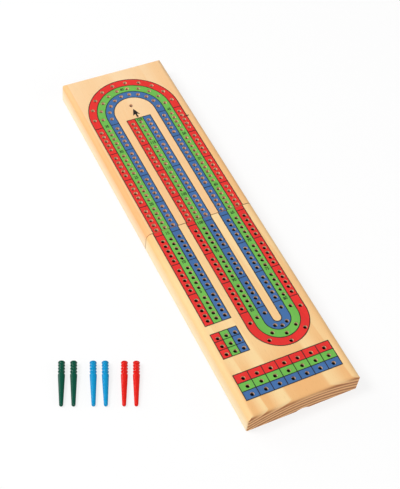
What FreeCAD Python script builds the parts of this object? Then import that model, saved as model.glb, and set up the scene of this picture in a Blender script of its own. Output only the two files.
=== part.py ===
"""Folding cribbage board in two pine halves, hinged underneath, with six scoring pegs laid out beside it.

Frame: millimetres, +Z up, +X to the right, +Y along the board towards the finishing hole.
The origin is on the underside, in the middle of the board's width, on the fold line between the halves.
The halves lie open and flat. The far half folds down and under the near half to make a box, and the
hollows in the two undersides then face each other and hold a pack of cards and the pegs.
"""

import FreeCAD, Part
import math
import os

from FreeCAD import Vector

# ---------------------------------------------------------------- driving dimensions, in millimetres
# The two wooden halves
BOARD_LENGTH = 376.0        # both halves open, free end to free end
BOARD_WIDTH = 99.0
BOARD_THICKNESS = 19.0
SEAM_GAP = 0.2              # between the halves' inner ends when the board is open
SIDE_ROUND = 4.8            # rounding along the long top edges
END_ROUND = 3.0             # rounding across the top of each free end
CORNER_ROUND = 1.5          # upright corners at the free ends
UNDERSIDE_ROUND = 0.8       # bottom edges of the sides and the free ends
SEAM_ROUND = 0.3            # top edges that meet at the seam

# The drilled scoring tracks. Each lane is one strip wide, and three lanes side by side make a column.
LANE = 7.65                 # width of one lane
HOLE_PITCH = 5.33           # hole to hole along a lane
GROUP_HOLES = 5             # holes between two counting lines
PATTERN_X = -1.1            # the whole pattern sits this far to the left of the board's middle
FAR_LINE_Y = 29.15          # first counting line past the seam on the far half
FAR_GROUPS = 4              # groups in each column of the far half, from the seam outwards
NEAR_HOLE_Y = 10.8          # seam to the first hole of the near half
NEAR_GROUPS = 3
FAR_TURN_Y = 132.2          # centre of the big half turn on the far half
FAR_TURN_HOLES = 10         # holes of one lane round the big turn
FAR_TURN_SPACING = {5: 18.9, 4: 19.3, 3: 20.0}  # degrees from hole to hole, by lanes out from the centre
NEAR_TURN_Y = 114.9         # seam to the centre of the small half turn on the near half
NEAR_TURN_BEND = (-45, 0, 45)  # degrees from straight down of the small turn's holes on the bend
NEAR_TURN_RISE = {3: 3.9, 2: 6.7, 1: 8.3}  # its holes on the straight legs above the centre, by lanes out
FINISH_Y = 141.3            # the single finishing hole
START_Y = 114.0             # seam to the first row of the starting block
START_PITCH = 7.85
START_ROWS = 3
GAMES_Y = 153.9             # seam to the first row of the block that counts games
GAMES_PITCH = 12.05
GAMES_COLUMNS = 7
HOLE_RADIUS = 1.75
HOLE_DEPTH = 7.2            # straight wall of a peg hole, above the drill's point
DRILL_POINT_ANGLE = 118.0

# Hollows in the underside, alike in both halves
FLOOR_UNDER_HOLES = 2.0     # wood left between a peg hole and a hollow
CARD_POCKET_LENGTH = 92.0
POCKET_WIDTH = 66.5
POCKET_CORNER = 3.0
POCKET_RIB = 8.0            # wood between the card hollow and the peg hollow
END_WALL = 18.0             # wood between the card hollow and the free end
HINGE_WALL = 24.0           # wood between the peg hollow and the seam
SCOOP_WIDTH = 13.0          # finger scoop under each free end
SCOOP_HEIGHT = 2.7
SCOOP_REACH = 10.0

# Two brass butt hinges let into the underside across the seam
HINGE_INSET = 19.5          # side of the board to the middle of a hinge
HINGE_LENGTH = 20.0
LEAF_REACH = 12.0           # seam to the outer edge of a leaf
LEAF_THICKNESS = 0.8
LEAF_CORNER = 1.5
KNUCKLE_RADIUS = 1.2
KNUCKLE_MIDDLE = 6.2        # length of the far leaf's single knuckle
KNUCKLE_GAP = 0.3           # between neighbouring knuckles, and between knuckles and wood or leaf
PIN_RADIUS = 0.6
PIN_CLEARANCE = 0.05        # pin in the far leaf's knuckle
MORTISE_CLEARANCE = 0.2     # round the leaf, in the wood
SCREW_SPREAD = 12.0         # between the two screws of a leaf
SCREW_REACH = 7.2           # seam to the screws
SCREW_RADIUS = 0.9
SCREW_HEAD_RADIUS = 1.6
SCREW_LENGTH = 7.0
SCREW_SLOT_WIDTH = 0.4
SCREW_SLOT_DEPTH = 0.35

# Round magnets that hold the folded box shut
MAGNET_RADIUS = 4.0
MAGNET_THICKNESS = 3.0
MAGNET_RECESS = 0.1         # below the face of the wood
MAGNET_SIDE_INSET = 13.5    # side of the board to the middle of a magnet
MAGNET_END_INSET = 9.0      # free end to the middle of a magnet

# Moulded pegs, lying on the table beside the near half
PEG_LENGTH = 39.5
PEG_TIP_CLEARANCE = 0.15    # tip in a peg hole, on the radius
PEG_SHOULDER_RADIUS = 2.88  # where the tapered shank meets the grip
PEG_GRIP_RADIUS = 2.82
PEG_GROOVES = 4
PEG_GROOVE_PITCH = 2.76
PEG_GROOVE_WIDTH = 1.4
PEG_GROOVE_DEPTH = 0.4
PEG_CROWN = 2.1             # height of the domed top
PEG_SETS = (("green", 22.3), ("blue", 22.1), ("red", 23.8))  # colour, and turn from +Y towards +X
PEGS_IN_SET = 2
PEG_ROW_X = -155.7          # head of the first peg
PEG_ROW_Y = -76.7
PEG_ROW_TURN = -22.7        # direction of the row of heads, from +X
PEG_SPACING = 9.4
PEG_SET_SPACING = 24.5

# ---------------------------------------------------------------- what follows from them
HALF_LENGTH = BOARD_LENGTH / 2
HINGE_X = BOARD_WIDTH / 2 - HINGE_INSET
SEAM_FACE = SEAM_GAP / 2
GROUP = (GROUP_HOLES + 1) * HOLE_PITCH
DRILL_POINT = HOLE_RADIUS / math.tan(math.radians(DRILL_POINT_ANGLE / 2))
POCKET_DEPTH = BOARD_THICKNESS - HOLE_DEPTH - DRILL_POINT - FLOOR_UNDER_HOLES
CARD_POCKET_START = HALF_LENGTH - END_WALL - CARD_POCKET_LENGTH
PEG_POCKET_LENGTH = CARD_POCKET_START - POCKET_RIB - HINGE_WALL
TABLE_Z = -KNUCKLE_RADIUS   # the open board stands on its hinge knuckles
LEAF_FACE = KNUCKLE_RADIUS - LEAF_THICKNESS
LEAF_START = KNUCKLE_RADIUS + KNUCKLE_GAP
PEG_TIP_RADIUS = HOLE_RADIUS - PEG_TIP_CLEARANCE
PEG_GRIP_LENGTH = PEG_CROWN + PEG_GROOVE_WIDTH + (PEG_GROOVES - 1) * PEG_GROOVE_PITCH


# ---------------------------------------------------------------- shapes used by several pieces
def in_xz(u, v):
    return Vector(u, 0, v)


def in_yz(u, v):
    return Vector(0, u, v)


def in_xy(u, v):
    return Vector(u, v, 0)


def rounded_rectangle(low, high, radii, place):
    """Face of a rectangle from low to high; radii go round from the low corner, first along u."""
    corners = [(low[0], low[1]), (high[0], low[1]), (high[0], high[1]), (low[0], high[1])]
    edges = []
    ends = []
    for i, (u, v) in enumerate(corners):
        radius = radii[i]
        before = corners[i - 1]
        after = corners[(i + 1) % 4]
        to_before = (math.copysign(1, before[0] - u) if before[0] != u else 0,
                     math.copysign(1, before[1] - v) if before[1] != v else 0)
        to_after = (math.copysign(1, after[0] - u) if after[0] != u else 0,
                    math.copysign(1, after[1] - v) if after[1] != v else 0)
        start = place(u + radius * to_before[0], v + radius * to_before[1])
        end = place(u + radius * to_after[0], v + radius * to_after[1])
        ends.append((start, end))
        if radius > 0:
            inset = radius * (1 - math.sqrt(0.5))
            middle = place(u + inset * (to_before[0] + to_after[0]), v + inset * (to_before[1] + to_after[1]))
            edges.append(Part.Arc(start, middle, end).toShape())
    for i in range(4):
        edges.append(Part.makeLine(ends[i][1], ends[(i + 1) % 4][0]))
    return Part.Face(Part.Wire(Part.__sortEdges__(edges)))


def revolved(outline, axis):
    """Solid of revolution of a closed outline of edges in the plane that holds the axis."""
    return Part.Face(Part.Wire(Part.__sortEdges__(outline))).revolve(Vector(0, 0, 0), axis, 360)


def box(low, high):
    return Part.makeBox(high[0] - low[0], high[1] - low[1], high[2] - low[2], Vector(*low))


def to_near(shape):
    """The same shape on the other side of the seam."""
    return shape.mirror(Vector(0, 0, 0), Vector(0, 1, 0))


# ---------------------------------------------------------------- the wooden halves
def blank():
    """One half before drilling, built on the far side of the seam."""
    across = rounded_rectangle((-BOARD_WIDTH / 2, 0), (BOARD_WIDTH / 2, BOARD_THICKNESS),
                               (UNDERSIDE_ROUND, UNDERSIDE_ROUND, SIDE_ROUND, SIDE_ROUND), in_xz)
    along = rounded_rectangle((SEAM_FACE, 0), (HALF_LENGTH, BOARD_THICKNESS),
                              (0, UNDERSIDE_ROUND, END_ROUND, SEAM_ROUND), in_yz)
    plan = rounded_rectangle((-BOARD_WIDTH / 2, SEAM_FACE), (BOARD_WIDTH / 2, HALF_LENGTH),
                             (0, 0, CORNER_ROUND, CORNER_ROUND), in_xy)
    body = across.extrude(Vector(0, HALF_LENGTH, 0))
    along_body = along.extrude(Vector(BOARD_WIDTH, 0, 0)).translated(Vector(-BOARD_WIDTH / 2, 0, 0))
    plan_body = plan.extrude(Vector(0, 0, BOARD_THICKNESS))
    return body.common(along_body).common(plan_body)


def pocket(start, length):
    """Hollow routed into the underside, measured from the seam."""
    outline = rounded_rectangle((-POCKET_WIDTH / 2, start), (POCKET_WIDTH / 2, start + length),
                                (POCKET_CORNER,) * 4, in_xy)
    return outline.extrude(Vector(0, 0, POCKET_DEPTH))


def finger_scoop():
    """Shallow round scoop under the free end, made by a ball-nosed cutter."""
    radius = ((SCOOP_WIDTH / 2) ** 2 + SCOOP_HEIGHT ** 2) / (2 * SCOOP_HEIGHT)
    centre = Vector(0, HALF_LENGTH - SCOOP_REACH + SCOOP_WIDTH / 2, SCOOP_HEIGHT - radius)
    run = Part.makeCylinder(radius, SCOOP_REACH, centre, Vector(0, 1, 0))
    return run.fuse(Part.makeSphere(radius, centre))


def hinge_mortise(x):
    """Shallow seat for a leaf, with a deeper groove at the seam that clears the knuckles."""
    half = HINGE_LENGTH / 2 + MORTISE_CLEARANCE
    seat = rounded_rectangle((x - half, 0), (x + half, LEAF_REACH + MORTISE_CLEARANCE),
                             (0, 0, LEAF_CORNER, LEAF_CORNER), in_xy).extrude(Vector(0, 0, KNUCKLE_RADIUS))
    groove = box((x - half, 0, 0), (x + half, LEAF_START, KNUCKLE_RADIUS + KNUCKLE_GAP))
    return seat.fuse(groove)


def screw_places():
    """The four screws of one half, on the far side of the seam."""
    return [(side * HINGE_X + offset, SCREW_REACH)
            for side in (-1, 1) for offset in (-SCREW_SPREAD / 2, SCREW_SPREAD / 2)]


def magnet_places():
    x = BOARD_WIDTH / 2 - MAGNET_SIDE_INSET
    return [(-x, HALF_LENGTH - MAGNET_END_INSET), (x, HALF_LENGTH - MAGNET_END_INSET)]


def underside_cuts():
    cuts = [pocket(CARD_POCKET_START, CARD_POCKET_LENGTH), pocket(HINGE_WALL, PEG_POCKET_LENGTH), finger_scoop()]
    cuts += [hinge_mortise(-HINGE_X), hinge_mortise(HINGE_X)]
    cuts += [Part.makeCylinder(SCREW_RADIUS, SCREW_LENGTH + LEAF_FACE, Vector(x, y, 0)) for x, y in screw_places()]
    cuts += [Part.makeCylinder(MAGNET_RADIUS, MAGNET_THICKNESS + MAGNET_RECESS, Vector(x, y, 0))
             for x, y in magnet_places()]
    return cuts


def peg_hole():
    """One drilled hole about the Z axis, mouth at z = 0, with the drill's conical point at the bottom."""
    corners = [Vector(0, 0, 0), Vector(HOLE_RADIUS, 0, 0), Vector(HOLE_RADIUS, 0, -HOLE_DEPTH),
               Vector(0, 0, -HOLE_DEPTH - DRILL_POINT), Vector(0, 0, 0)]
    return revolved(Part.makePolygon(corners).Edges, Vector(0, 0, 1))


COLUMN_LANES = [column + lane for column in (-4, 0, 4) for lane in (-1, 0, 1)]


def far_hole_places():
    """Holes of the far half, in the pattern's own x."""
    places = [(0, FINISH_Y)]
    for lane in COLUMN_LANES:
        for group in range(FAR_GROUPS):
            line = FAR_LINE_Y + (group - 1) * GROUP
            places += [(lane * LANE, line + (hole + 1) * HOLE_PITCH) for hole in range(GROUP_HOLES)]
    # The outer lane's holes stop short of the half turn's ends, and the inner lane's reach them.
    for lane, spacing in FAR_TURN_SPACING.items():
        for hole in range(FAR_TURN_HOLES):
            turn = math.radians(90 + (hole - (FAR_TURN_HOLES - 1) / 2) * spacing)
            places.append((lane * LANE * math.cos(turn), FAR_TURN_Y + lane * LANE * math.sin(turn)))
    return places


def near_hole_places():
    """Holes of the near half, in the pattern's own x."""
    places = []
    for lane in COLUMN_LANES:
        for group in range(NEAR_GROUPS):
            first = -NEAR_HOLE_Y - group * GROUP
            places += [(lane * LANE, first - hole * HOLE_PITCH) for hole in range(GROUP_HOLES)]
    # Small turn from the middle column to the right one: three holes on the bend, one on each straight leg.
    middle = 2 * LANE
    for lane, rise in NEAR_TURN_RISE.items():
        places += [(middle + side * lane * LANE, -NEAR_TURN_Y + rise) for side in (-1, 1)]
        for turn in NEAR_TURN_BEND:
            angle = math.radians(turn)
            places.append((middle + lane * LANE * math.sin(angle), -NEAR_TURN_Y - lane * LANE * math.cos(angle)))
    for lane in (-5, -4, -3):
        places += [(lane * LANE, -START_Y - row * START_PITCH) for row in range(START_ROWS)]
    for column in range(GAMES_COLUMNS):
        x = (column - (GAMES_COLUMNS - 1) / 2) * GAMES_PITCH
        places += [(x, -GAMES_Y - row * LANE) for row in range(3)]
    return places


def drilled(body, places):
    hole = peg_hole()
    return body.cut([hole.translated(Vector(PATTERN_X + x, y, BOARD_THICKNESS)) for x, y in places])


# ---------------------------------------------------------------- hinges and screws
def knuckle(x_from, x_to):
    """Rolled end of a leaf about the pin, with the flat tab that joins it to the leaf."""
    roll = Part.makeCylinder(KNUCKLE_RADIUS, x_to - x_from, Vector(x_from, 0, 0), Vector(1, 0, 0))
    return roll.fuse(box((x_from, 0, LEAF_FACE), (x_to, LEAF_START, KNUCKLE_RADIUS)))


def leaf(x, knuckles, bore_radius):
    """Hinge leaf on the far side of the seam, its back against the seat, countersunk for two screws."""
    plate = rounded_rectangle((x - HINGE_LENGTH / 2, LEAF_START), (x + HINGE_LENGTH / 2, LEAF_REACH),
                              (0, 0, LEAF_CORNER, LEAF_CORNER), in_xy)
    plate = plate.extrude(Vector(0, 0, LEAF_THICKNESS)).translated(Vector(0, 0, LEAF_FACE))
    body = plate.fuse([knuckle(x + a, x + b) for a, b in knuckles])
    cuts = [Part.makeCylinder(bore_radius, HINGE_LENGTH, Vector(x - HINGE_LENGTH / 2, 0, 0), Vector(1, 0, 0))]
    cuts += [screw_body(px, py, 0) for px, py in screw_places() if abs(px - x) < HINGE_LENGTH / 2]
    return body.cut(cuts).removeSplitter()


def screw_body(x, y, slot):
    """Countersunk wood screw, head flush with the leaf; slot is 1 for a slotted head."""
    head = Part.makeCone(SCREW_HEAD_RADIUS, SCREW_RADIUS, LEAF_THICKNESS, Vector(x, y, LEAF_FACE))
    shank = Part.makeCylinder(SCREW_RADIUS, SCREW_LENGTH, Vector(x, y, LEAF_FACE))
    body = head.fuse(shank)
    if slot:
        half = SCREW_SLOT_WIDTH / 2
        body = body.cut(box((x - SCREW_HEAD_RADIUS, y - half, LEAF_FACE),
                            (x + SCREW_HEAD_RADIUS, y + half, LEAF_FACE + SCREW_SLOT_DEPTH)))
    return body


def hinge(x):
    """Near leaf with two outer knuckles, far leaf with the middle one, and the pin they share."""
    end = HINGE_LENGTH / 2
    middle = KNUCKLE_MIDDLE / 2
    near_leaf = to_near(leaf(x, [(-end, -middle - KNUCKLE_GAP), (middle + KNUCKLE_GAP, end)], PIN_RADIUS))
    far_leaf = leaf(x, [(-middle, middle)], PIN_RADIUS + PIN_CLEARANCE)
    pin = Part.makeCylinder(PIN_RADIUS, HINGE_LENGTH, Vector(x - end, 0, 0), Vector(1, 0, 0))
    return near_leaf, far_leaf, pin


def screws():
    return Part.makeCompound([screw_body(x, y, 1) for x, y in screw_places()])


# ---------------------------------------------------------------- magnets
def magnet(x, y):
    return Part.makeCylinder(MAGNET_RADIUS, MAGNET_THICKNESS, Vector(x, y, MAGNET_RECESS))


# ---------------------------------------------------------------- pegs
def standing_peg():
    """Peg along +Y from its tip at the origin: round tip, tapered shank, grooved grip, domed crown."""
    tip = PEG_TIP_RADIUS
    shoulder = PEG_LENGTH - PEG_GRIP_LENGTH
    edges = [Part.Arc(Vector(0, 0, 0), Vector(tip * math.sqrt(0.5), tip * (1 - math.sqrt(0.5)), 0),
                      Vector(tip, tip, 0)).toShape()]
    edges.append(Part.makeLine(Vector(tip, tip, 0), Vector(PEG_SHOULDER_RADIUS, shoulder, 0)))
    last = Vector(PEG_SHOULDER_RADIUS, shoulder, 0)
    for groove in range(PEG_GROOVES):
        start = shoulder + groove * PEG_GROOVE_PITCH
        end = Vector(PEG_GRIP_RADIUS, start + PEG_GROOVE_WIDTH, 0)
        floor = Vector(PEG_GRIP_RADIUS - PEG_GROOVE_DEPTH, start + PEG_GROOVE_WIDTH / 2, 0)
        if groove:
            edges.append(Part.makeLine(last, Vector(PEG_GRIP_RADIUS, start, 0)))
            last = Vector(PEG_GRIP_RADIUS, start, 0)
        edges.append(Part.Arc(last, floor, end).toShape())
        last = end
    crown_radius = (PEG_GRIP_RADIUS ** 2 + PEG_CROWN ** 2) / (2 * PEG_CROWN)
    crown_turn = math.asin(PEG_GRIP_RADIUS / crown_radius) / 2
    crown = Vector(crown_radius * math.sin(crown_turn), PEG_LENGTH - crown_radius * (1 - math.cos(crown_turn)), 0)
    top = Vector(0, PEG_LENGTH, 0)
    edges.append(Part.Arc(last, crown, top).toShape())
    edges.append(Part.makeLine(top, Vector(0, 0, 0)))
    return revolved(edges, Vector(0, 1, 0))


def lying_peg(head_x, head_y, turn):
    """The peg laid on its tapered shank, so that the shank's lowest line touches the table."""
    tip_point = Vector(0, PEG_TIP_RADIUS, 0)
    taper = math.atan2(PEG_SHOULDER_RADIUS - PEG_TIP_RADIUS, PEG_LENGTH - PEG_GRIP_LENGTH - PEG_TIP_RADIUS)
    peg = standing_peg()
    peg.rotate(tip_point, Vector(1, 0, 0), math.degrees(taper))
    peg.translate(Vector(0, 0, TABLE_Z + PEG_TIP_RADIUS * math.cos(taper)))
    peg.translate(Vector(0, -PEG_LENGTH, 0))
    peg.rotate(Vector(0, 0, 0), Vector(0, 0, 1), -turn)
    peg.translate(Vector(head_x, head_y, 0))
    return peg


def pegs():
    row = Vector(math.cos(math.radians(PEG_ROW_TURN)), math.sin(math.radians(PEG_ROW_TURN)), 0)
    laid = {}
    for set_index, (colour, turn) in enumerate(PEG_SETS):
        for number in range(PEGS_IN_SET):
            head = Vector(PEG_ROW_X, PEG_ROW_Y, 0) + row * (set_index * PEG_SET_SPACING + number * PEG_SPACING)
            laid[f"peg_{colour}_{number + 1}"] = lying_peg(head.x, head.y, turn)
    return laid


# ---------------------------------------------------------------- assembly and export
def assembly():
    half = blank().cut(underside_cuts())
    nodes = {
        "near_half": drilled(to_near(half), near_hole_places()),
        "far_half": drilled(half, far_hole_places()),
        "near_hinge_screws": to_near(screws()),
        "far_hinge_screws": screws(),
    }
    for name, x in (("left", -HINGE_X), ("right", HINGE_X)):
        near_leaf, far_leaf, pin = hinge(x)
        nodes[f"{name}_hinge_near_leaf"] = near_leaf
        nodes[f"{name}_hinge_far_leaf"] = far_leaf
        nodes[f"{name}_hinge_pin"] = pin
    for name, (x, y) in zip(("left", "right"), magnet_places()):
        nodes[f"near_magnet_{name}"] = magnet(x, -y)
        nodes[f"far_magnet_{name}"] = magnet(x, y)
    nodes.update(pegs())
    return nodes


os.makedirs("parts", exist_ok=True)
for node, shape in assembly().items():
    shape.exportStep(f"parts/{node}.step")
    print(f"{node:24s} solids {len(shape.Solids)}  valid {shape.isValid()}  volume {shape.Volume:.1f}")
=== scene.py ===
"""Folding pine cribbage board with screen-printed scoring lanes, brass hinges underneath and moulded pegs.

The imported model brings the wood, the hinges, the screws and the magnets. This file finishes them, prints the
lanes, lines and numbers on the two halves, and makes the pegs. Lengths are in metres.
"""

import math

import bpy
from mathutils import Matrix, Vector


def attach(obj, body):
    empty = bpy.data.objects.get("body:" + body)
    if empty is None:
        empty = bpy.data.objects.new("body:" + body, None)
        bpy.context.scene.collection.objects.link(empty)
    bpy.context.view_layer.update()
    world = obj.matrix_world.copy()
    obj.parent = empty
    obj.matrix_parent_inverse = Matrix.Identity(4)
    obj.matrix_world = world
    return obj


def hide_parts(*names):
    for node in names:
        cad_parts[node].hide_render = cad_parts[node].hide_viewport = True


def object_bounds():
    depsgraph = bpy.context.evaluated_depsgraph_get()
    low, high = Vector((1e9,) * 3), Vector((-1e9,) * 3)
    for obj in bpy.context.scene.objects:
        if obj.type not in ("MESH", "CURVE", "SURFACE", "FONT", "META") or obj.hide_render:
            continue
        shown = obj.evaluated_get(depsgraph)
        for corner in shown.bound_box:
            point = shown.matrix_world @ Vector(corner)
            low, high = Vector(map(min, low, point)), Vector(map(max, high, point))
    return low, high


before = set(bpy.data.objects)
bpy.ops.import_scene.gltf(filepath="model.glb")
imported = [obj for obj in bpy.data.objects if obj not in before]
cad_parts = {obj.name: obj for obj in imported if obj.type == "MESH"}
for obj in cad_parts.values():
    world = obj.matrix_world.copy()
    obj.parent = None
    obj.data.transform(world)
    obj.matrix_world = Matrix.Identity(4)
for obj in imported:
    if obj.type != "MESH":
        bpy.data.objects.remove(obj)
bpy.ops.object.select_all(action="DESELECT")
cad_box = [list(corner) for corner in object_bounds()]


# ------------------------------------------------------------------------ the studio
# A glowing white table top in an even white room, with a soft lamp at the left, a weak tall one behind and a
# weak wide one in front at the right. The camera sees the table near its own white, so that shadows on it
# stay faint. It shows from above only, so that the underside, which it lights, can be looked at from below.
TABLE_RADIUS = 4
TABLE_GLOW = 0.26           # share of the table top that glows rather than being lit
GLOW_SEEN = 0.48            # and how much more of it the camera and polished metal see
WALL_LIGHT = 0.34
LAMPS = (                   # name, place, width, height and watts
    ("soft_lamp", (-1.45, 0.4, 1.9), 0.8, 0.8, 36),
    ("back_lamp", (-1.45, 1.8, 0.95), 1.5, 1.2, 15),
    ("front_lamp", (1.3, -1.2, 0.8), 1.6, 1.0, 9))

bpy.ops.object.camera_add(location=(-0.33622, -0.52983, 0.79310))
camera = bpy.context.object
looks_along = Vector((0.33119, 0.51539, -0.79037)).normalized()
frame_right = looks_along.cross(Vector((0.29524, 0.73898, 0.60560))).normalized()
frame_up = frame_right.cross(looks_along)
camera.rotation_euler = Matrix((frame_right, frame_up, -looks_along)).transposed().to_euler()
camera.data.sensor_width = 36
camera.data.lens = 86.6
camera.data.clip_start = 0.05
camera.data.clip_end = 20
bpy.context.scene.camera = camera
bpy.context.scene.view_settings.view_transform = "Standard"


class Wire:
    """One value, colour or vector in a set of shader nodes. Arithmetic on wires adds Math nodes."""

    def __init__(self, tree, socket=None):
        self.tree = tree
        self.socket = socket

    def node(self, kind, settings=None, inputs=None, output=0):
        """Adds a node, sets it up, feeds its sockets, and gives one of its outputs."""
        made = self.tree.nodes.new(kind)
        for name, value in (settings or {}).items():
            setattr(made, name, value)
        for name, value in (inputs or {}).items():
            if isinstance(value, Wire):
                self.tree.links.new(value.socket, made.inputs[name])
            else:
                made.inputs[name].default_value = value
        return Wire(self.tree, made.outputs[output] if made.outputs else None)

    def other(self, output):
        """Another output of the node that this wire comes from."""
        return Wire(self.tree, self.socket.node.outputs[output])

    def maths(self, operation, first, second=0.0):
        return self.node("ShaderNodeMath", {"operation": operation}, {0: first, 1: second})

    def __add__(self, value):
        return self.maths("ADD", self, value)

    def __sub__(self, value):
        return self.maths("SUBTRACT", self, value)

    def __mul__(self, value):
        return self.maths("MULTIPLY", self, value)

    def __pow__(self, value):
        return self.maths("POWER", self, value)

    def __abs__(self):
        return self.maths("ABSOLUTE", self)

    def __rsub__(self, value):
        return self.maths("SUBTRACT", value, self)

    __radd__ = __add__
    __rmul__ = __mul__

    def parts(self):
        """The three parts of a vector."""
        x = self.node("ShaderNodeSeparateXYZ", None, {"Vector": self})
        return x, x.other("Y"), x.other("Z")

    def rise(self, low, high):
        """Goes smoothly from 0 to 1 while the value goes from low to high."""
        return self.node("ShaderNodeMapRange", {"interpolation_type": "SMOOTHSTEP"},
                         {"Value": self, "From Min": low, "From Max": high})

    def mix(self, first, second, how="MIX"):
        """Mixes two colours by this value."""
        return self.node("ShaderNodeMix", {"data_type": "RGBA", "blend_type": how},
                         {0: self, 6: first, 7: second}, output=2)


def blank(kind, name):
    """A new material or world that has no nodes yet, and the wire that adds them."""
    made = kind.new(name)
    made.use_nodes = True
    made.node_tree.nodes.clear()
    return made, Wire(made.node_tree)


def colour(red, green, blue):
    """A colour given from 0 to 255 in each part, as the share of light that it sends back."""
    return tuple(((part / 255 + 0.055) / 1.055) ** 2.4 for part in (red, green, blue)) + (1,)


def cover(piece, material):
    """Gives a piece one material all over."""
    piece.data.materials.clear()
    piece.data.materials.append(material)


bpy.ops.mesh.primitive_circle_add(vertices=96, radius=TABLE_RADIUS, fill_type="NGON",
                                  location=(0, 0, cad_box[0][2]))
table_top = bpy.context.object
table_top.name = "table_top"
table_white, paint = blank(bpy.data.materials, "table_white")
from_below = paint.node("ShaderNodeNewGeometry", output="Backfacing")
matt = paint.node("ShaderNodeBsdfDiffuse", None, {"Color": (0.72, 0.72, 0.72, 1)})
own_white = paint.node("ShaderNodeEmission", None, {"Color": (1, 1, 1, 1), "Strength": 1.1})
seen = paint.node("ShaderNodeLightPath", output="Is Camera Ray")
glow = (seen + seen.other("Is Glossy Ray")) * GLOW_SEEN + TABLE_GLOW
from_above = paint.node("ShaderNodeMixShader", None, {0: glow, 1: matt, 2: own_white})
clear = paint.node("ShaderNodeBsdfTransparent")
one_sided = paint.node("ShaderNodeMixShader", None, {0: from_below, 1: from_above, 2: clear})
paint.node("ShaderNodeOutputMaterial", None, {"Surface": one_sided})
cover(table_top, table_white)

room, paint = blank(bpy.data.worlds, "room")
bpy.context.scene.world = room
_, _, upwards = paint.node("ShaderNodeTexCoord", output="Generated").parts()
downwards = 1 - upwards.rise(-0.1, 0.1)
seen = paint.node("ShaderNodeLightPath", output="Is Camera Ray")
seen = seen + seen.other("Is Glossy Ray") * downwards
walls = paint.node("ShaderNodeBackground", None, {"Color": (1, 1, 1, 1), "Strength": WALL_LIGHT})
backdrop = paint.node("ShaderNodeBackground", None, {"Color": (1, 1, 1, 1), "Strength": 1.0})
walls_or_backdrop = paint.node("ShaderNodeMixShader", None, {0: seen, 1: walls, 2: backdrop})
paint.node("ShaderNodeOutputWorld", None, {"Surface": walls_or_backdrop})

for name, place, width, height, watts in LAMPS:
    bpy.ops.object.light_add(type="AREA", location=place)
    lamp = bpy.context.object
    lamp.name = name
    lamp.data.shape = "RECTANGLE"
    lamp.data.size = width
    lamp.data.size_y = height
    lamp.data.energy = watts
    lamp.rotation_euler = (-lamp.location).to_track_quat("-Z", "Y").to_euler()


# ------------------------------------------------------------------------ the two pine halves
# Each half is sawn from one pine plank, with the heart of the tree below the board's top, so that the year
# rings run along the top as broad streaks and arch across the ends. Sanded and thinly sealed, so nearly
# dull. Painted shade darkens the depths of the peg holes, the left rounding and the seam; painted light pales
# the hole walls, partly as fresh-cut wood, and the sides towards the underside.
MM = 0.001                  # a millimetre
BOARD_TOP = 19.0 * MM
RING_SWAY = 8               # millimetres by which the year rings swing sideways along a plank
RING_HEAVE = 4              # and by which they rise and fall
SQUARE_ON = (0.5, 0.95)     # how far a face has to look to an end or a side to count as one

# Where each change over a half begins and ends, from the middle line, the seam or the underside
HOLES_WITHIN = (42.2 * MM, 43 * MM)         # no peg hole is further from the middle line
HOLES_SHORT_OF = (180 * MM, 182 * MM)       # or from the seam
HOLE_POINTS = (9.4 * MM, 9.8 * MM)          # and none goes deeper
HOLE_MOUTHS = (18.3 * MM, 18.9 * MM)        # just under the sanded top
HOLE_SHADE_FADE = 1.6 * MM                        # height over which the painted shade in the holes sets in
STREAKS_LEFT = (-46.5 * MM, -44 * MM)       # late wood shows less on the left rounding,
STREAKS_RIGHT = (15 * MM, 30 * MM)          # right of the middle
STREAKS_END = (-165 * MM, -125 * MM)        # and away from the near end
WARM_SEAM = (60 * MM, 200 * MM)             # the colour deepens towards the seam
WARM_RIGHT = (12 * MM, 36 * MM)             # and towards the right side
LEFT_SHADE_RAMP = (-60 * MM, 20 * MM)             # the painted shade on the left rounding grows across the seam
TABLE_BOUNCE_SPAN = (4 * MM, 16 * MM)                 # painted light: the sides are paler towards the underside, as light thrown up from the table
SEAM_SHADE = (0.15 * MM, 0.55 * MM)         # painted shade darkens the edges and faces at the seam


def in_the_wood(paint, heart_x, heart_depth, ring, first_ring, slant):
    """Late wood, fibre, broad clouds and resin ducts at each place of a plank.

    There is a year ring every so far from the tree's heart.
    """
    place = paint.node("ShaderNodeTexCoord", output="Object")

    def cloud(across, along, detail, rough=0.5):
        """Cloudy change over so many millimetres across the grain and along it."""
        stretched = paint.node("ShaderNodeMapping", None, {
            "Vector": place, "Location": (heart_x, heart_depth, ring),
            "Scale": (1 / (across * MM), 1 / (along * MM), 1 / (across * MM))})
        return paint.node("ShaderNodeTexNoise", None,
                          {"Vector": stretched, "Scale": 1, "Detail": detail, "Roughness": rough})

    x, y, z = place.parts()
    sideways = (x + y * slant) * (1 / MM) - heart_x + (cloud(70, 900, 1) - 0.5) * RING_SWAY
    height = z * (1 / MM) - (BOARD_TOP / MM - heart_depth) + (cloud(90, 500, 1) - 0.5) * RING_HEAVE
    radius = (sideways * sideways + height * height) ** 0.5
    year = (radius - first_ring) * (1 / ring)
    uneven = paint.node("ShaderNodeTexNoise", {"noise_dimensions": "1D"},
                        {"W": year * 0.7, "Scale": 1, "Detail": 0})
    phase = paint.maths("FRACT", year + (uneven - 0.5) * 0.4)
    late = phase.rise(0.05, 0.7) * (1 - phase.rise(0.9, 1.0))
    fibre = cloud(0.45, 30, 3, 0.6)
    broad = cloud(22, 420, 2)
    ducts = cloud(0.3, 5, 1).rise(0.66, 0.74)
    return late, fibre, broad, ducts


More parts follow.
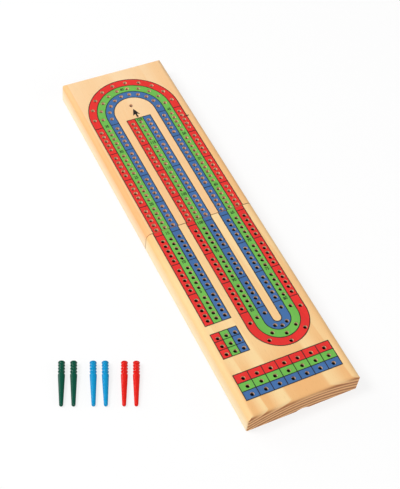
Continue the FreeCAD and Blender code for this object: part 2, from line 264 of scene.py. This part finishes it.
def pine(name, early_wood, late_wood, streaks, warm_seam, warm_right, hole_shade_colour, shaded_below, plank):
    """Pine with its rings, fibre and resin ducts, brown where the fibres end. Painted shade darkens the depths
    of the drilled holes, the left rounding and the seam; painted light pales the hole walls and the sides low
    down.

    streaks is how strongly late wood shows, warm_seam and warm_right how much the colour deepens towards the
    seam and the right side, and the next two the colour of the painted shade in the peg holes and the height
    below which it falls.
    """
    material, paint = blank(bpy.data.materials, name)
    late, fibre, broad, ducts = in_the_wood(paint, **plank)
    x, y, z = paint.node("ShaderNodeTexCoord", output="Object").parts()
    rightwards, farwards, _ = paint.node("ShaderNodeTexCoord", output="Normal").parts()
    leftwards = 0 - rightwards
    end_grain = abs(farwards).rise(*SQUARE_ON)
    side_grain = abs(rightwards).rise(*SQUARE_ON)

    # painted shade: the left rounding is darkened and warmed, more on the far half; the flat left side is
    # mostly spared
    left_rounding_shade = leftwards.rise(0.02, 0.3) * (1 - leftwards.rise(0.96, 0.995) * 0.8)
    left_rounding_shade = left_rounding_shade * (y.rise(*LEFT_SHADE_RAMP) * 0.65 + 0.35)
    hole_area = (1 - abs(x).rise(*HOLES_WITHIN)) * (1 - abs(y).rise(*HOLES_SHORT_OF)) * z.rise(*HOLE_POINTS)
    drilled = hole_area * (1 - z.rise(*HOLE_MOUTHS))
    # painted shade: below a given height the peg holes darken, as shade falls down them
    hole_shade = hole_area * (1 - z.rise(shaded_below - HOLE_SHADE_FADE, shaded_below))
    # painted light from the table, paler low on the sides
    table_bounce_light = side_grain * (1 - z.rise(*TABLE_BOUNCE_SPAN))
    # painted shade at the seam's edges and faces
    seam = 1 - abs(y).rise(*SEAM_SHADE)

    warm = (1 - y.rise(*WARM_SEAM)) * warm_seam + x.rise(*WARM_RIGHT) * warm_right
    strong = (1 - y.rise(*STREAKS_END)) * (1 - x.rise(*STREAKS_RIGHT) * 0.6) * 0.6 + 0.4
    strong = strong * (x.rise(*STREAKS_LEFT) * 0.8 + 0.2)
    dark = late * strong * (streaks - 0.3 * side_grain) + (broad - 0.5) * 0.6 + (fibre - 0.5) * 0.35 + warm
    body = dark.mix(early_wood, late_wood)
    sawn = (late * 0.9 + (fibre - 0.5) * 0.5).mix(colour(255, 204, 144), colour(176, 104, 58))
    body = (end_grain * (1 - drilled)).mix(body, sawn)
    body = (ducts * 0.16).mix(body, colour(176, 112, 62))
    # painted shade on the left rounding
    body = left_rounding_shade.mix(body, colour(255, 228, 204), "MULTIPLY")
    body = side_grain.mix(body, colour(248, 246, 244), "MULTIPLY")
    # painted light: the sides paler towards the underside
    body = (table_bounce_light * 0.55).mix(body, colour(250, 240, 214))
    # the hole walls are made pale, partly the paleness of fresh-cut wood and partly painted light
    body = (drilled * 0.8).mix(body, colour(255, 226, 200))
    # painted shade deep in the peg holes
    body = (hole_shade * 0.95).mix(body, hole_shade_colour, "MULTIPLY")
    # painted shade at the seam
    body = (seam * 0.6).mix(body, colour(120, 78, 48), "MULTIPLY")
    grain = fibre * 0.6 + late * 0.4 - ducts * 0.5
    bump = paint.node("ShaderNodeBump", None, {"Height": grain, "Strength": 0.35, "Distance": 0.06 * MM})
    surface = paint.node("ShaderNodeBsdfPrincipled", None, {
        "Base Color": body, "Roughness": 0.55 + fibre * 0.2, "Specular IOR Level": 0.3, "Normal": bump})
    paint.node("ShaderNodeOutputMaterial", None, {"Surface": surface})
    return material


# The heart's place and the rings' spacing in millimetres, and how far the rings run aslant of the plank
near_plank = {"heart_x": -11, "heart_depth": 123, "ring": 4.3, "first_ring": 121.1, "slant": 0.09}
far_plank = {"heart_x": -38, "heart_depth": 210, "ring": 7.5, "first_ring": 206.5, "slant": 0.03}
near_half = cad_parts["near_half"]
far_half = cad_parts["far_half"]
cover(near_half, pine("near_pine", early_wood=colour(255, 221, 163), late_wood=colour(246, 188, 124),
                      streaks=0.9, warm_seam=0, warm_right=0.3, hole_shade_colour=colour(40, 16, 10),
                      shaded_below=18.2 * MM, plank=near_plank))
cover(far_half, pine("far_pine", early_wood=colour(255, 220, 174), late_wood=colour(248, 188, 118),
                     streaks=0.5, warm_seam=0.4, warm_right=0.2, hole_shade_colour=colour(96, 46, 32),
                     shaded_below=16.9 * MM, plank=far_plank))


# ------------------------------------------------------------------------ the printed lanes
# Three colours of screen ink, each a thin film on the sealed wood: three columns of three lanes, the big
# half turn, the small half turn, the starting block and the block that counts games. Drilled after printing,
# so every film has the board's own holes.
LANE = 7.65 * MM
INK = 0.04 * MM
SEAM_MARGIN = 0.33 * MM
FAR_X = -1.0 * MM           # the print's middle on each half, which misses the holes' by a little
NEAR_X = -1.6 * MM
FAR_TURN = 132.2 * MM       # where the half turns have their middles
NEAR_TURN = -114.1 * MM
FAR_GROUPS = [y * MM for y in (29.15, 61.13, 93.11, 125.1)]             # the counting lines
NEAR_GROUPS = [y * MM for y in (-4.36, -36.34, -68.32, -100.3)]
START_ROWS = [y * MM for y in (-108.9, -116.7, -124.8, -133.0)]
GAMES_ROWS = [y * MM for y in (-149.0, -157.2, -164.9, -172.7)]
GAMES_CELLS = 7
GAMES_CELL = 1.588 * LANE   # width of one
GAMES_LEFT = -5.52 * LANE   # from the print's middle
GAMES_COLUMNS = [GAMES_LEFT + cell * GAMES_CELL for cell in range(GAMES_CELLS + 1)]
INKS = {"red": colour(240, 45, 40), "green": colour(115, 194, 80), "blue": colour(66, 113, 172)}
SUNK = INK / 8              # how far under the face of the wood a film starts
FILM_BLANK = 5 * INK        # a film's thickness before it is cut to the face of the ink
SKIN_DEPTH = 1 * MM         # how much of the drilled top cuts the films
SAME_PLACE = 1e-6           # points nearer than this are at one place
WELD = 1e-7                 # and nearer than this, on a strip, one point
HALVES = (("far", far_half, far_plank, FAR_X, FAR_TURN, FAR_GROUPS, SEAM_MARGIN),
          ("near", near_half, near_plank, NEAR_X, NEAR_TURN, NEAR_GROUPS, -SEAM_MARGIN))


def flat_strip(x_from, x_to, y_from, y_to):
    """A flat rectangle just under the face of the wood."""
    centre = ((x_from + x_to) / 2, (y_from + y_to) / 2, BOARD_TOP - SUNK)
    bpy.ops.mesh.primitive_plane_add(size=1, location=centre)
    strip = bpy.context.object
    strip.scale = (x_to - x_from, y_to - y_from, 1)
    bpy.ops.object.transform_apply()
    return strip


def pick_points(piece, chosen, mode="VERT"):
    """Goes into edit mode with only the chosen points picked, or the edges or faces between them."""
    bpy.ops.object.mode_set(mode="EDIT")
    bpy.ops.mesh.select_mode(type="VERT")
    bpy.ops.mesh.select_all(action="DESELECT")
    bpy.ops.object.mode_set(mode="OBJECT")
    for point in piece.data.vertices:
        point.select = chosen(point.co)
    bpy.ops.object.mode_set(mode="EDIT")
    bpy.ops.mesh.select_mode(type=mode)


def turned_strip(centre_x, centre_y, inner, outer, end):
    """A strip that comes from an end, goes round half a turn and back to it."""
    away = math.copysign(1, centre_y - end)
    strip = flat_strip(centre_x - outer, centre_x - inner, *sorted((end, centre_y)))
    pick_points(strip, lambda place: abs(place.y - centre_y) < SAME_PLACE, "EDGE")
    bpy.ops.mesh.spin(steps=36, angle=away * math.pi, center=(centre_x, centre_y, 0), axis=(0, 0, 1))
    bpy.ops.mesh.extrude_region()
    bpy.ops.transform.translate(value=(0, end - centre_y, 0))
    bpy.ops.mesh.select_all(action="SELECT")
    bpy.ops.mesh.remove_doubles(threshold=WELD)
    bpy.ops.object.mode_set(mode="OBJECT")
    return strip


def joined(name, strips):
    """Makes one object of several."""
    bpy.ops.object.select_all(action="DESELECT")
    for strip in strips:
        strip.select_set(True)
    bpy.context.view_layer.objects.active = strips[0]
    bpy.ops.object.join()
    strips[0].name = name
    return strips[0]


def thicken(film, height):
    """Turns all of a flat film to face up, and gives it its thickness."""
    bpy.ops.object.select_all(action="DESELECT")
    bpy.context.view_layer.objects.active = film
    film.select_set(True)
    bpy.ops.object.mode_set(mode="EDIT")
    bpy.ops.mesh.select_mode(type="FACE")
    bpy.ops.mesh.select_all(action="DESELECT")
    bpy.ops.object.mode_set(mode="OBJECT")
    for face in film.data.polygons:
        face.select = face.normal.z < 0
    bpy.ops.object.mode_set(mode="EDIT")
    bpy.ops.mesh.flip_normals()
    bpy.ops.object.mode_set(mode="OBJECT")
    bpy.ops.object.modifier_add(type="SOLIDIFY")
    film.modifiers[-1].thickness = height
    film.modifiers[-1].offset = 1
    bpy.ops.object.modifier_apply(modifier=film.modifiers[-1].name)


def skin(half):
    """The top of a half with its holes, raised by the thickness of the ink."""
    bpy.ops.object.select_all(action="DESELECT")
    raised = half.copy()
    raised.data = half.data.copy()
    raised.parent = None
    bpy.context.collection.objects.link(raised)
    bpy.context.view_layer.objects.active = raised
    raised.select_set(True)
    bpy.ops.object.mode_set(mode="EDIT")
    bpy.ops.mesh.select_all(action="SELECT")
    bpy.ops.mesh.remove_doubles(threshold=SAME_PLACE)
    bpy.ops.mesh.bisect(plane_co=(0, 0, BOARD_TOP - SKIN_DEPTH), plane_no=(0, 0, 1), use_fill=True,
                        clear_inner=True)
    bpy.ops.mesh.select_all(action="SELECT")
    bpy.ops.transform.translate(value=(0, 0, INK))
    bpy.ops.object.mode_set(mode="OBJECT")
    return raised


def cut_to_shape(film, cutter):
    """Leaves of a film only what lies in the cutter."""
    bpy.ops.object.modifier_add(type="BOOLEAN")
    film.modifiers[-1].operation = "INTERSECT"
    film.modifiers[-1].solver = "MANIFOLD"
    film.modifiers[-1].object = cutter
    bpy.ops.object.modifier_apply(modifier=film.modifiers[-1].name)


def ink(name, pigment, plank):
    """Ink through which the grain shows a little, dull where the fibres stand up."""
    material, paint = blank(bpy.data.materials, name)
    late, fibre, broad, ducts = in_the_wood(paint, **plank)
    shade = (fibre - 0.5) * 0.7 + late * 0.25 + ducts * 0.3
    darker = tuple(part * 0.72 for part in pigment[:3]) + (1,)
    bump = paint.node("ShaderNodeBump", None,
                      {"Height": fibre + late, "Strength": 0.3, "Distance": 0.03 * MM})
    surface = paint.node("ShaderNodeBsdfPrincipled", None, {
        "Base Color": shade.mix(pigment, darker), "Roughness": 0.38 + fibre * 0.2, "Normal": bump})
    paint.node("ShaderNodeOutputMaterial", None, {"Surface": surface})
    return material


for half_name, half, plank, middle, turn_y, groups, seam in HALVES:
    body = f"{half_name}_board"
    cutter = skin(half)
    for track, pigment in enumerate(INKS):
        outer = 5.5 - track         # lanes from the middle to the outer side of this colour's big lane
        if half_name == "near":
            left = middle - outer * LANE
            turn_outer = (outer - 2) * LANE
            columns = [turned_strip(middle + 2 * LANE, turn_y, turn_outer - LANE, turn_outer, seam),
                       flat_strip(left, left + LANE, groups[-1], seam),
                       flat_strip(left, left + LANE, START_ROWS[-1], START_ROWS[0]),
                       flat_strip(middle + GAMES_COLUMNS[0], middle + GAMES_COLUMNS[-1],
                                  GAMES_ROWS[track + 1], GAMES_ROWS[track])]
        else:
            left = middle + (track - 1.5) * LANE
            columns = [turned_strip(middle, turn_y, (outer - 1) * LANE, outer * LANE, seam),
                       flat_strip(left, left + LANE, seam, groups[-1])]
        film = joined(f"{half_name}_lanes_{pigment}", columns)
        thicken(film, FILM_BLANK)
        cut_to_shape(film, cutter)
        cover(film, ink(f"{half_name}_{pigment}_ink", INKS[pigment], plank))
        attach(film, body)
    bpy.data.objects.remove(cutter)


# ------------------------------------------------------------------------ lines and numbers
# Black screen ink over the colours: an outline along each lane, a line across the red and blue lanes after
# each five holes, the count on the green lane there, and an arrow to the finishing hole.
LINE = 0.72 * MM            # width of a line
LINE_HEIGHT = 2 * INK       # twice a colour's, because it is printed over them
NUMBER_SIZE = 4.1 * MM
NUMBER_BOLD = 0.12 * MM
NUMBER_WIDTH = 0.86         # narrowed to fit its lane
RED_AND_BLUE = [column + lane for column in (-4, 0, 4) for lane in (-1, 1)]     # their middles, in lanes
ARROW_SHAFT = (126.5 * MM, 131.0 * MM)
ARROW_HEAD = (129.2 * MM, 137.0 * MM)
ARROW_HALF_SHAFT = 0.8 * MM
ARROW_HALF_HEAD = 3.4 * MM
ARROW_NOTCH = 1.6 * MM
SKUNK_LINE = (111.8 * MM, 112.6 * MM)       # a short tick across the red lane's outer outline
SKUNK_REACH = (5.15 * LANE, 5.8 * LANE)
LAST_COUNT_DROP = 2.4 * MM                  # the 120 is set below its line, clear of the arrow


def long_line(x, y_from, y_to):
    """A line along a lane, out to the outer sides of the lines that it meets."""
    return flat_strip(x - LINE / 2, x + LINE / 2, y_from - LINE / 2, y_to + LINE / 2)


def short_line(x_from, x_to, y):
    """A line across a lane or a cell, between the outlines at its sides."""
    return flat_strip(x_from + LINE / 2, x_to - LINE / 2, y - LINE / 2, y + LINE / 2)


def grid(x_lines, y_lines):
    """Outlines of rows and columns of cells."""
    lines = [long_line(x, min(y_lines), max(y_lines)) for x in x_lines]
    for y in y_lines:
        lines += [short_line(x_from, x_to, y) for x_from, x_to in zip(x_lines, x_lines[1:])]
    return lines


def arrow(x):
    """Shaft, and a head drawn in to a point from a rectangle, with a notch in its base."""
    shaft = flat_strip(x - ARROW_HALF_SHAFT, x + ARROW_HALF_SHAFT, *ARROW_SHAFT)
    arrow_head = flat_strip(x - ARROW_HALF_HEAD, x + ARROW_HALF_HEAD, *ARROW_HEAD)
    middle_y = sum(ARROW_HEAD) / 2
    pick_points(arrow_head, lambda place: place.y > middle_y)
    bpy.ops.mesh.merge(type="CENTER")
    pick_points(arrow_head, lambda place: place.y < middle_y, "EDGE")
    bpy.ops.mesh.subdivide(number_cuts=1)
    pick_points(arrow_head, lambda place: place.y < middle_y and abs(place.x - x) < SAME_PLACE)
    bpy.ops.transform.translate(value=(0, ARROW_NOTCH, 0))
    bpy.ops.object.mode_set(mode="OBJECT")
    return [shaft, arrow_head]


def number(text, x, y):
    """A number set upright, on top of the coloured ink."""
    bpy.ops.object.text_add(location=(x, y, BOARD_TOP + 1.5 * INK))
    count = bpy.context.object
    count.data.body = str(text)
    count.data.align_x = "CENTER"
    count.data.align_y = "CENTER"
    count.data.size = NUMBER_SIZE
    count.data.offset = NUMBER_BOLD
    count.data.extrude = INK / 2
    count.data.resolution_u = 4
    count.scale = (NUMBER_WIDTH, 1, 1)
    bpy.ops.object.convert(target="MESH")
    bpy.ops.object.transform_apply()
    return count


def counts_along(x, rows, first, step):
    """Numbers at the given rows of a lane, each so much more or less than the one before."""
    return [number(first + step * i, x, y) for i, y in enumerate(rows)]


black_ink, paint = blank(bpy.data.materials, "black_ink")
place = paint.node("ShaderNodeTexCoord", output="Object")
uneven = paint.node("ShaderNodeTexNoise", None, {"Vector": place, "Scale": 1800, "Detail": 2})
surface = paint.node("ShaderNodeBsdfPrincipled", None, {
    "Base Color": uneven.mix(colour(20, 15, 15), colour(40, 32, 28)), "Roughness": 0.35 + uneven * 0.2})
paint.node("ShaderNodeOutputMaterial", None, {"Surface": surface})

for half_name, _, _, middle, turn_y, groups, seam in HALVES:
    body = f"{half_name}_board"
    left = middle - 4 * LANE
    right = middle + 4 * LANE
    if half_name == "near":
        turn_x = middle + 2 * LANE
        turn_lines = (0.5, 1.5, 2.5, 3.5)
        straight = [middle + edge * LANE for edge in (-5.5, -4.5, -3.5, -2.5)]
    else:
        turn_x = middle
        turn_lines = (2.5, 3.5, 4.5, 5.5)
        straight = [middle + edge * LANE for edge in (-1.5, -0.5, 0.5, 1.5)]
    lines = [turned_strip(turn_x, turn_y, lane * LANE - LINE / 2, lane * LANE + LINE / 2, seam)
             for lane in turn_lines]
    lines += [long_line(x, *sorted((seam, groups[-1]))) for x in straight]
    lines.append(short_line(straight[1], straight[2], groups[-1]))
    for y in groups:
        lines += [short_line(middle + (lane - 0.5) * LANE, middle + (lane + 0.5) * LANE, y)
                  for lane in RED_AND_BLUE]
    if half_name == "near":
        lines += grid(straight, START_ROWS)
        lines += grid([middle + x for x in GAMES_COLUMNS], GAMES_ROWS)
        counts = counts_along(left, groups[:-1], 15, -5)
        counts += counts_along(middle, groups, 100, -5)
        counts += counts_along(right, groups, 65, 5)
    else:
        lines += arrow(middle)
        lines.append(flat_strip(middle + SKUNK_REACH[0], middle + SKUNK_REACH[1], *SKUNK_LINE))
        counts = counts_along(left, groups, 20, 5)
        counts += counts_along(middle, groups[:-1] + [groups[-1] - LAST_COUNT_DROP], 105, 5)
        counts += counts_along(right, groups, 60, -5)
        counts.append(number(40, middle, turn_y + 4 * LANE))
    outlines = joined(f"{half_name}_lines", lines)
    thicken(outlines, LINE_HEIGHT)
    cover(outlines, black_ink)
    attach(outlines, body)
    numbers = joined(f"{half_name}_numbers", counts)
    cover(numbers, black_ink)
    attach(numbers, body)


# ------------------------------------------------------------------------ hinges and pins
# Two small brass butt hinges in seats cut in the underside, across the seam. The leaves are pressed from
# sheet and tarnish where fingers reach; each pair turns on a drawn steel pin.
def metal(name, bright, dull, rough):
    """Metal with fine scratches one way and clouds of tarnish."""
    material, paint = blank(bpy.data.materials, name)
    place = paint.node("ShaderNodeTexCoord", output="Object")
    drawn = paint.node("ShaderNodeMapping", None, {"Vector": place, "Scale": (300, 9000, 9000)})
    scratches = paint.node("ShaderNodeTexNoise", None, {"Vector": drawn, "Scale": 1, "Detail": 3})
    clouds = paint.node("ShaderNodeTexNoise", None, {"Vector": place, "Scale": 260, "Detail": 4})
    tarnish = clouds.rise(0.45, 0.75)
    bump = paint.node("ShaderNodeBump", None, {"Height": scratches, "Strength": 0.25, "Distance": 0.02 * MM})
    surface = paint.node("ShaderNodeBsdfPrincipled", None, {
        "Base Color": tarnish.mix(bright, dull), "Metallic": 1 - tarnish * 0.2,
        "Roughness": rough + scratches * 0.15 + tarnish * 0.15, "Normal": bump})
    paint.node("ShaderNodeOutputMaterial", None, {"Surface": surface})
    return material


hinge_brass = metal("leaf_brass", colour(222, 184, 104), colour(160, 122, 66), 0.22)
pin_steel = metal("drawn_steel", colour(196, 198, 200), colour(140, 140, 140), 0.2)
for side in ("left", "right"):
    for part, finish in (("near_leaf", hinge_brass), ("far_leaf", hinge_brass), ("pin", pin_steel)):
        cover(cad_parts[f"{side}_hinge_{part}"], finish)


# ------------------------------------------------------------------------ the hinge screws
# Slotted brass wood screws with countersunk heads, turned from rod, four to a half. They are driven into the
# underside through the leaves until they lie flush.
screw_brass = metal("turned_brass", colour(214, 172, 92), colour(150, 112, 60), 0.26)
for half_name in ("near", "far"):
    cover(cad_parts[f"{half_name}_hinge_screws"], screw_brass)


# ------------------------------------------------------------------------ the magnets
# Round nickel-plated magnets pressed into the underside near the free ends, two to a half. They hold the
# folded board shut.
nickel_plate = metal("nickel_plate", colour(206, 204, 198), colour(170, 168, 160), 0.16)
for half_name in ("near", "far"):
    for side in ("left", "right"):
        cover(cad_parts[f"{half_name}_magnet_{side}"], nickel_plate)


# ------------------------------------------------------------------------ the pegs
# Injection-moulded plastic pegs: a round tip and a tapered shank that jams in a hole, a ribbed grip, and a
# flat crown with the stub where the peg was broken from its sprue. They lie loose on the table.
PEG_LENGTH = 39.5 * MM
INSIDE = 0.01 * MM          # how far shank and grip stay inside their solid
TIP_RADIUS = 1.6 * MM
TIP_TURNS = (12, 32, 52, 72, 90)            # degrees round the tip, from its end
SHOULDER = 27.7 * MM        # from the tip to where the grip begins
SHOULDER_RADIUS = 2.88 * MM - INSIDE
SHOULDER_EASES = (1.2 * MM, 0.5 * MM)       # points of the shank just before it
GRIP_RADIUS = 2.82 * MM - INSIDE
RIBS = 4
RIB_PITCH = 2.76 * MM
RIB_HEIGHT = 0.62 * MM
RIB_POINTS = 8              # points along the outline of one rib
CROWN_AT = 37.6 * MM
CROWN = ((0, 0), (0.6, 0.1), (1.0, 0.45), (1.25, 1.1))      # millimetres up from there and in from the grip
STUB_AT = 1.4 * MM          # foot of the sprue's stub, above the same place
STUB_ROUND = 0.1 * MM
STUB_RADII = (0.5 * MM, 0.58 * MM)
SIDES = 32
PLASTICS = {"green": colour(0, 82, 62), "blue": colour(8, 152, 208), "red": colour(232, 30, 20)}


def peg_outline(stub):
    """Heights from the tip and radii there, up to the top of a stub of the given radius."""
    outline = [(TIP_RADIUS * (1 - math.cos(turn)), TIP_RADIUS * math.sin(turn))
               for turn in map(math.radians, TIP_TURNS)]
    taper = (SHOULDER_RADIUS - TIP_RADIUS) / (SHOULDER - TIP_RADIUS)
    outline += [(height, TIP_RADIUS + taper * (height - TIP_RADIUS))
                for height in (2 * TIP_RADIUS, *(SHOULDER - short for short in SHOULDER_EASES))]
    for step in range(1, RIBS * RIB_POINTS):
        height = SHOULDER + (step / RIB_POINTS - 0.25) * RIB_PITCH
        valley = 0.5 - 0.5 * math.cos(2 * math.pi * step / RIB_POINTS)
        outline.append((height, GRIP_RADIUS - RIB_HEIGHT * valley))
    outline += [(CROWN_AT + up * MM, GRIP_RADIUS - inwards * MM) for up, inwards in CROWN]
    outline += [(CROWN_AT + STUB_AT, stub + STUB_ROUND), (PEG_LENGTH - STUB_ROUND, stub),
                (PEG_LENGTH, stub * 0.6)]
    return outline


def turned(name, outline):
    """A closed piece turned about the Z axis: a disc drawn up from one height and radius to the next."""
    bpy.ops.mesh.primitive_circle_add(vertices=SIDES, radius=outline[0][1], fill_type="NGON",
                                      location=(0, 0, outline[0][0]))
    piece = bpy.context.object
    piece.name = name
    bpy.ops.object.mode_set(mode="EDIT")
    bpy.ops.mesh.select_all(action="SELECT")
    for (before, radius_before), (after, radius_after) in zip(outline, outline[1:]):
        bpy.ops.mesh.extrude_region_move(TRANSFORM_OT_translate={"value": (0, 0, after - before)})
        share = radius_after / radius_before
        bpy.ops.transform.resize(value=(share, share, 1))
    bpy.ops.mesh.select_all(action="SELECT")
    bpy.ops.mesh.normals_make_consistent(inside=False)
    bpy.ops.object.mode_set(mode="OBJECT")
    bpy.ops.object.transform_apply()
    bpy.ops.object.shade_smooth_by_angle(angle=math.radians(50))
    return piece


def moulded(name, pigment):
    """Glossy plastic with a faint orange peel, and scuffs that dull it in places."""
    material, paint = blank(bpy.data.materials, name)
    place = paint.node("ShaderNodeTexCoord", output="Object")
    peel = paint.node("ShaderNodeTexNoise", None, {"Vector": place, "Scale": 700, "Detail": 1})
    worn = paint.node("ShaderNodeTexNoise", None, {"Vector": place, "Scale": 350, "Detail": 5})
    scuffs = worn.rise(0.55, 0.7)
    deeper = tuple(part * 0.93 for part in pigment[:3]) + (1,)
    bump = paint.node("ShaderNodeBump", None, {"Height": peel, "Strength": 0.02, "Distance": 0.01 * MM})
    surface = paint.node("ShaderNodeBsdfPrincipled", None, {
        "Base Color": peel.mix(pigment, deeper), "Roughness": 0.2 + scuffs * 0.03, "Specular IOR Level": 0.2,
        "Normal": bump})
    paint.node("ShaderNodeOutputMaterial", None, {"Surface": surface})
    return material


for pigment, shade in PLASTICS.items():
    plastic = moulded(f"{pigment}_plastic", shade)
    for count, stub in enumerate(STUB_RADII, start=1):
        node = f"peg_{pigment}_{count}"
        corners = [point.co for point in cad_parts[node].data.vertices]
        middle = sum(corners, Vector()) / len(corners)
        one_end = max(corners, key=lambda place: (place - middle).length)
        other_end = max(corners, key=lambda place: (place - one_end).length)
        tip, head = sorted((one_end, other_end), key=lambda place: place.y)
        peg = turned(f"moulded_{node}", peg_outline(stub))
        peg.rotation_euler = (head - tip).to_track_quat("Z", "Y").to_euler()
        peg.location = tip
        bpy.ops.object.transform_apply()
        cover(peg, plastic)
        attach(peg, node)
        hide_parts(node)
